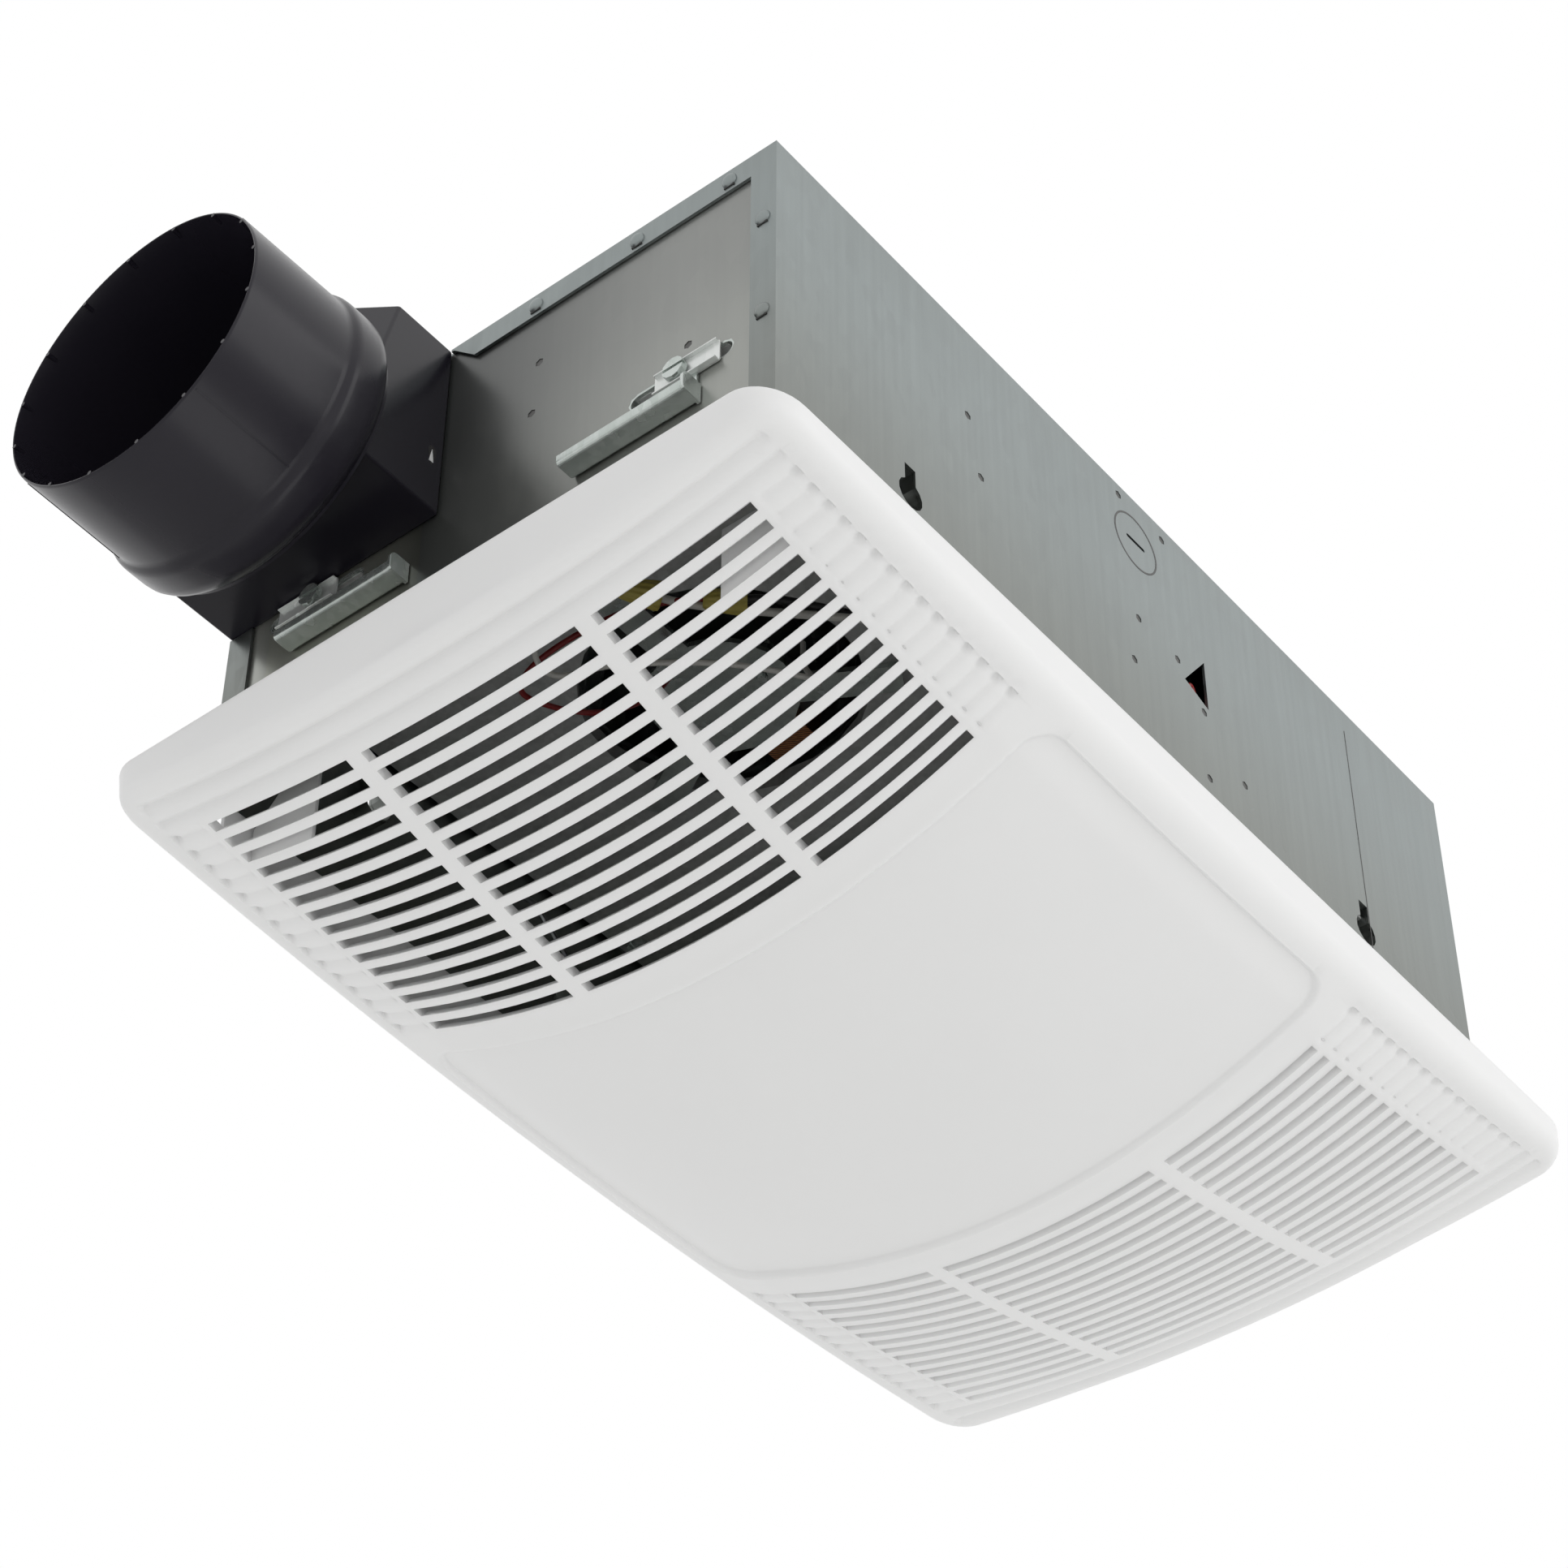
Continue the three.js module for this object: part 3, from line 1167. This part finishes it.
// Ceramic bars under the bends, with a peg inside each bend
function elementInsulator(name, end, firstBend) {
  const topZ = elementMiddleZ - ribbonDepth / 2 - fitGap;
  const pegRadius = bendRadius - ribbonThickness / 2 - fitGap;
  const wall = outletX[end];
  const inward = end === 0 ? 1 : -1;
  const bar = box(span(wall + inward * fitGap, wall + inward * (fitGap + insulatorWidth)), grown(outletY, -fitGap),
    [topZ - insulatorHeight, topZ]);
  const pegs = [];
  for (let run = firstBend; run < ribbonRuns - 1; run += 2) {
    pegs.push(rod('z', pegRadius, [topZ - insulatorHeight / 2, topZ + ribbonDepth],
      [bendX[end], ribbonRunY(run) + bendRadius], smallSides));
  }
  return piece(name, joined(bar, pegs), 'ceramic');
}

function thermalCutout() {
  const wallX = heaterOutletOuterX + sheetSteel + fitGap;
  const body = rod('x', cutoutRadius, [wallX, wallX + cutoutHeight], [cutoutY, elementMiddleZ], ringSides);
  const terminalHalf = cutoutTerminalWidth / 2;
  const terminal = box([wallX + cutoutHeight / 2, wallX + cutoutHeight],
    [cutoutY - cutoutRadius - cutoutTerminalLength, cutoutY],
    [elementMiddleZ - terminalHalf, elementMiddleZ + terminalHalf]);
  return piece('thermal_cutout', joined(body, terminal), 'blackPlastic');
}

function outletHood() {
  const topZ = elementBottomZ - fitGap;
  const rim = (by) => [heaterOutletInnerX - by, heaterOutletOuterX + by, heaterCasingHalf + by];
  const mouth = (by) => [hoodInnerX - by, hoodOuterX + by, hoodHalfWidth + by];
  const outside = funnel(rim(sheetSteel), topZ, mouth(0), hoodBottomZ);
  const inside = funnel(rim(0), topZ + fitGap, mouth(-sheetSteel), hoodBottomZ - fitGap);
  return piece('outlet_hood', cut(outside, inside), 'innerSteel');
}

// Leads: down through the lead holes, then in a bow to the wire nuts and to the cutout

const leadRing = leadHoleRadius - leadRadius - fitGap * 2;

function leadDrop(turnDegrees) {
  const turn = THREE.MathUtils.degToRad(turnDegrees);
  const x = leadHoleX + leadRing * Math.cos(turn);
  const y = leadHoleY + leadRing * Math.sin(turn);
  return [[x, y, leadTailZ], [x, y, wiringBoxBottomZ], [x, y, plateTopZ], [x, y, blowerPlateZ]];
}

function lead(name, points, finish) {
  const curve = new THREE.CatmullRomCurve3(points.map((point) => new THREE.Vector3(...point)), false, 'centripetal');
  return piece(name, wire(curve, leadRadius, leadSteps), finish);
}

// A wire nut lies level, its mouth towards its heading
const wireNutZ = blowerPlateZ - wireNutDrop;
const wireNuts = [
  { name: 'front_wire_nut', at: [exhaustX + frontNutAlong, exhaustY + frontNutAcross, wireNutZ], headingDegrees: -50 },
  { name: 'rear_wire_nut', at: [exhaustX + rearNutAlong, exhaustY + rearNutAcross, wireNutZ], headingDegrees: -35 },
];

function wireNut({ name, at, headingDegrees }) {
  const half = wireNutLength / 2;
  const outside = turned([[0, -half], [wireNutTipRadius, -half], [wireNutMouthRadius, half], [0, half]]);
  const body = cut(solid(outside), rod('z', wireNutBoreRadius, [half - wireNutBoreDepth, half + cutOverrun], [0, 0]));
  const mesh = piece(name, body, 'yellowCap');
  mesh.rotation.y = Math.PI / 2;
  const holder = group(mesh);
  holder.rotation.z = THREE.MathUtils.degToRad(headingDegrees);
  holder.position.set(...at);
  return holder;
}

function nutEntry({ at, headingDegrees }, distance) {
  const turn = THREE.MathUtils.degToRad(headingDegrees);
  return [at[0] + distance * Math.cos(turn), at[1] + distance * Math.sin(turn), at[2]];
}

// Two stops on the way from the lead hole to a wire nut, off to the side of the straight line
function bowed(drop, end, bow) {
  const [startX, startY] = drop[drop.length - 1];
  const away = new THREE.Vector2(end[0] - startX, end[1] - startY);
  const aside = new THREE.Vector2(0 - away.y, away.x).normalize();
  return [[leadFirstShare, leadFirstDrop], [leadLastShare, leadLastDrop]].map(([share, down]) => {
    const off = bow * Math.sin(share * Math.PI);
    return [startX + away.x * share + aside.x * off, startY + away.y * share + aside.y * off, blowerPlateZ - down];
  });
}

function nutLead(turnDegrees, nut, bow) {
  const drop = leadDrop(turnDegrees);
  const entry = nutEntry(nut, wireNutLength);
  const bottom = nutEntry(nut, wireNutLength / 2 - wireNutBoreDepth + fitGap);
  return [...drop, ...bowed(drop, entry, bow), entry, bottom];
}

function wiring() {
  const [frontNut, rearNut] = wireNuts;
  const cutoutX = heaterOutletOuterX + sheetSteel + fitGap + (cutoutHeight * 3) / 4;
  const cutoutEndY = cutoutY - cutoutRadius - cutoutTerminalLength - fitGap;
  const redY = leadHoleY + redLeadInset;
  const redZ = heaterPlateZ - redLeadDrop;
  const redEnd = [
    [dividerX, redY, redZ], [hoodInnerX, redY, redZ], [cutoutX - redLeadTurn, redY + redLeadTurn, redZ],
    [cutoutX, cutoutEndY - redLeadTurn, elementMiddleZ], [cutoutX, cutoutEndY, elementMiddleZ],
  ];
  return group(
    ...wireNuts.map(wireNut),
    lead('black_lead', nutLead(150, frontNut, blackLeadBow), 'blackLead'),
    lead('white_lead', nutLead(270, rearNut, whiteLeadBow), 'whiteLead'),
    lead('red_lead', [...leadDrop(30), ...redEnd], 'redLead'),
  );
}

// Grille

const louvreLean = Math.tan(THREE.MathUtils.degToRad(louvreLeanDegrees));

// Height of the outer face: highest at the rim, lowest in the middle
function faceZ(x, y) {
  const across = 1 - (y / slotFieldHalfY) ** 2;
  const along = 1 - (x / slotFieldEndX) ** 2;
  return -(rimDepth + crownAcross * across + crownAlong * along + crownBoth * across * along);
}

// A list of falling values, down to zero or not, with its negatives in front, in rising order
function mirrored(values) {
  return [...values.map((value) => 0 - value), ...values.filter((value) => value > 0).reverse()];
}

function rowX(row) {
  return slotFieldEndX - row * slotPitch;
}

// Stations halfway between rows, every fifth row, so that facets fold on the bars and not in the slots
const rowsPerFacet = 5;
const facetCount = slotRows / rowsPerFacet;
const fieldStations = evenly(0, facetCount, facetCount).map((i) => rowX(i * rowsPerFacet - 1 / 2));
const shellXs = mirrored([grilleHalfX, ...fieldStations, panelHalfLength / 2, 0]);
const sideColumnYs = evenly(slotFieldHalfY, slotRibOuterY, 2);
const centreColumnYs = evenly(slotRibInnerY, 0, 2);

function cushion(inset, topZ) {
  const halfX = grilleHalfX - inset;
  const halfY = grilleHalfY - inset;
  const radius = grilleShoulder - inset;
  const rise = (y) => {
    const over = Math.max(0, Math.abs(y) - (halfY - radius));
    return radius - Math.sqrt(Math.max(0, radius ** 2 - over ** 2));
  };
  const shoulderTurns = evenly(Math.PI / 2, 0, inset > 0 ? 1 : 3);
  const shoulderYs = shoulderTurns.map((turn) => halfY - radius + radius * Math.sin(turn));
  const xs = shellXs.map((x) => THREE.MathUtils.clamp(x, -halfX, halfX));
  const ys = mirrored([...shoulderYs, fluteEndY, ...sideColumnYs, ...centreColumnYs]);
  const body = patch(xs, ys, (x, y) => faceZ(x, y) + inset + rise(y), () => topZ);
  const depth = rimDepth + crownAcross + crownAlong + crownBoth + cutOverrun;
  const endAt = (z) => halfX + (grilleEndDraft * z) / rimDepth;
  const endProfile = [[-endAt(topZ), topZ], [endAt(topZ), topZ], [endAt(-depth), -depth], [-endAt(-depth), -depth]];
  const plan = roundedRectangle(halfX, halfY, grilleCornerRadius - inset);
  return body.intersect(plate('z', plan, [-depth, topZ])).intersect(plate('y', endProfile, [-grilleHalfY, grilleHalfY]));
}

function leaned(side) {
  return (x, y, z) => x - side * louvreLean * (z - faceZ(x, y));
}

function louvreBlock(side) {
  const xs = fieldStations.map((x) => side * x).sort((a, b) => a - b);
  const ys = mirrored([slotFieldHalfY + slotRibWidth / 2, ...sideColumnYs.slice(1), ...centreColumnYs]);
  return patch(xs, ys, (x, y) => faceZ(x, y) + grilleWall / 2, (x, y) => faceZ(x, y) + louvreDepth, leaned(side));
}

// Each column of a field is a window through the shell and the block, with leaned blades across it
const slotColumns = [sideColumnYs.map((y) => 0 - y), mirrored(centreColumnYs), sideColumnYs.slice().reverse()];

function louvreWindow(side, ys) {
  const xs = [side * rowX(0), side * rowX(slotRows - 1)].sort((a, b) => a - b);
  return patch(grown(xs, slotWidth / 2), ys, (x, y) => faceZ(x, y) - cutOverrun,
    (x, y) => faceZ(x, y) + louvreDepth + cutOverrun, leaned(side));
}

function louvres(side, ys) {
  const ribShare = 1 / 4;
  const [start, end] = grown([ys[0], ys[ys.length - 1]], slotRibWidth * ribShare);
  const reach = [start, ...ys.slice(1, -1), end];
  const blades = [];
  for (let row = 1; row < slotRows; row += 1) {
    const middle = side * rowX(row - 1 / 2);
    const xs = grown([middle, middle], (slotPitch - slotWidth) / 2);
    blades.push(patch(xs, reach, (x, y) => faceZ(x, y) + louvreSetback,
      (x, y) => faceZ(x, y) + louvreDepth - louvreSetback, leaned(side)));
  }
  return blades;
}

// A flute is a shallow groove with sloped sides in the outer face
function flute(x, ys) {
  const xs = [x - fluteWidth / 2, x, x + fluteWidth / 2];
  const depthAt = (u) => (u === x ? fluteDepth : 0);
  return patch(xs, ys, (u, y) => faceZ(u, y) - cutOverrun, (u, y) => faceZ(x, y) + depthAt(u));
}

function flutes(side) {
  const grooves = [];
  for (let row = 0; row < slotRows; row += 1) {
    grooves.push(flute(side * rowX(row), [fluteStartY, fluteEndY]), flute(side * rowX(row), [-fluteEndY, -fluteStartY]));
  }
  for (let i = 1; i <= endFlutes; i += 1) {
    grooves.push(flute(side * rowX(-i), mirrored([fluteEndY, ...sideColumnYs, ...centreColumnYs])));
  }
  return grooves;
}

function panelPatch(lowAt, highAt) {
  const xs = mirrored([panelHalfLength, panelHalfLength / 2, 0]);
  const ys = mirrored([panelHalfWidth, ...sideColumnYs, ...centreColumnYs]);
  const outline = plate('z', roundedRectangle(panelHalfLength, panelHalfWidth, panelCornerRadius),
    [faceZ(0, 0) - cutOverrun * 2, 0]);
  return patch(xs, ys, lowAt, highAt).intersect(outline);
}

function springPost(side) {
  const coilY = side * springY;
  const eyesReach = springArmOffset + springArmRadius;
  const postY = coilY - side * (eyesReach + fitGap);
  const baseZ = faceZ(0, springY) + grilleWall / 2;
  const post = box([-springPostHalf, springPostHalf], span(postY, postY - side * springPostThickness),
    [baseZ, springZ + springPegRadius + sheetSteel]);
  const peg = rod('y', springPegRadius, span(postY - (side * springPostThickness) / 2, coilY + side * eyesReach),
    [0, springZ]);
  return joined(post, peg);
}

// A wall inside each long side of the grille, which centres it in the housing's opening
function locatingWall(side) {
  const outerY = grilleHalfY - locatingWallMargin;
  const xs = mirrored([grilleHalfX - locatingWallEndMargin, ...fieldStations.slice(1), panelHalfLength / 2, 0]);
  return patch(xs, span(side * outerY, side * (outerY - locatingWallThickness)),
    (x, y) => faceZ(x, y) + grilleWall / 2, () => 0 - fitGap);
}

function grille() {
  const shell = cushion(0, 0).subtract(cushion(grilleWall, cutOverrun));
  const panelPad = panelPatch((x, y) => faceZ(x, y) + grilleWall / 2,
    (x, y) => faceZ(x, y) + grilleWall + panelRecess);
  const body = joined(shell, louvreBlock(-1), louvreBlock(1), panelPad, springPost(-1), springPost(1),
    locatingWall(-1), locatingWall(1));
  const recess = panelPatch((x, y) => faceZ(x, y) - cutOverrun, (x, y) => faceZ(x, y) + panelRecess);
  const cutters = [recess, ...flutes(-1), ...flutes(1)];
  const blades = [];
  for (const side of [-1, 1]) {
    for (const ys of slotColumns) {
      cutters.push(louvreWindow(side, ys));
      blades.push(...louvres(side, ys));
    }
  }
  return piece('grille', joined(cut(body, cutters), blades), 'whitePlastic');
}

// Grille springs: two arms and a coil on each peg, passing up through a slotted bracket

function springArm(direction) {
  const bore = rod('y', springPegRadius + fitGap, [-cutOverrun, cutOverrun], [0, 0]);
  const eye = cut(rod('y', springTurnRadius + springArmRadius, [-springArmRadius, springArmRadius], [0, 0]), bore);
  const bendZ = springArmLength - springTipLength;
  const straight = rod('z', springArmRadius, [springTurnRadius, bendZ], [0, 0], smallSides);
  const tip = rod('z', springArmRadius, [0, springTipLength], [0, 0], smallSides)
    .rotate([0, direction * (90 - springRestDegrees), 0]).translate([0, 0, bendZ - springArmRadius]);
  return joined(eye, joined(straight, tip).rotate([0, direction * springRestDegrees, 0]));
}

function springCoil() {
  const steps = springTurns * roundSides;
  const points = evenly(0, springTurns, steps).map((turn) => new THREE.Vector3(
    springTurnRadius * Math.cos(turn * 2 * Math.PI),
    (turn - springTurns / 2) * springTurnPitch,
    springTurnRadius * Math.sin(turn * 2 * Math.PI),
  ));
  return wire(new THREE.CatmullRomCurve3(points), springWireRadius, steps, tinySides);
}

function springs() {
  const set = new THREE.Group();
  for (const [name, side] of [['front', -1], ['rear', 1]]) {
    const coil = piece(`${name}_spring_coil`, springCoil(), 'springSteel');
    coil.position.set(0, side * springY, springZ);
    set.add(coil);
    for (const [armName, direction] of [['duct', -1], ['heater', 1]]) {
      const arm = piece(`${name}_spring_${armName}_arm`, springArm(direction), 'springSteel');
      arm.position.set(0, side * springY + direction * springArmOffset, springZ);
      set.add(arm);
    }
  }
  return set;
}

function springBracket(name, side) {
  const slotY = grown([side * springY, side * springY], springSlotHalfWidth);
  const innerEdge = springY - springSlotHalfWidth - springBracketLedge;
  const length = [-springBracketHalf, springBracketHalf];
  const ledge = box(length, span(side * innerEdge, side * panelSideY), [springBracketZ, springBracketZ + sheetSteel]);
  const leg = box(length, span(side * (panelSideY - sheetSteel), side * panelSideY),
    [springBracketZ, springBracketZ + springBracketHeight]);
  const slot = box([-springSlotHalf, springSlotHalf], slotY,
    [springBracketZ - cutOverrun, springBracketZ + sheetSteel + cutOverrun]);
  return piece(name, joined(cut(ledge, slot), leg), 'zinc');
}

const fan = group(
  housingShell(), ductEndWall(), heaterEndWall(), wiringKnockout(), wiringBox(), dividerPanel(), hangers(),
  ductConnector(), damper(), blowerPlate(), exhaustScroll(), motorBracket(), exhaustBlower(),
  heaterPlate(), heaterScroll(), heaterBlower(), elementFrame(), heatingElement(),
  elementInsulator('inner_element_insulator', 0, 1), elementInsulator('outer_element_insulator', 1, 0),
  thermalCutout(), outletHood(), screws(), wiring(), springBracket('front_spring_bracket', -1),
  springBracket('rear_spring_bracket', 1), grille(), springs(),
);

export default fan;
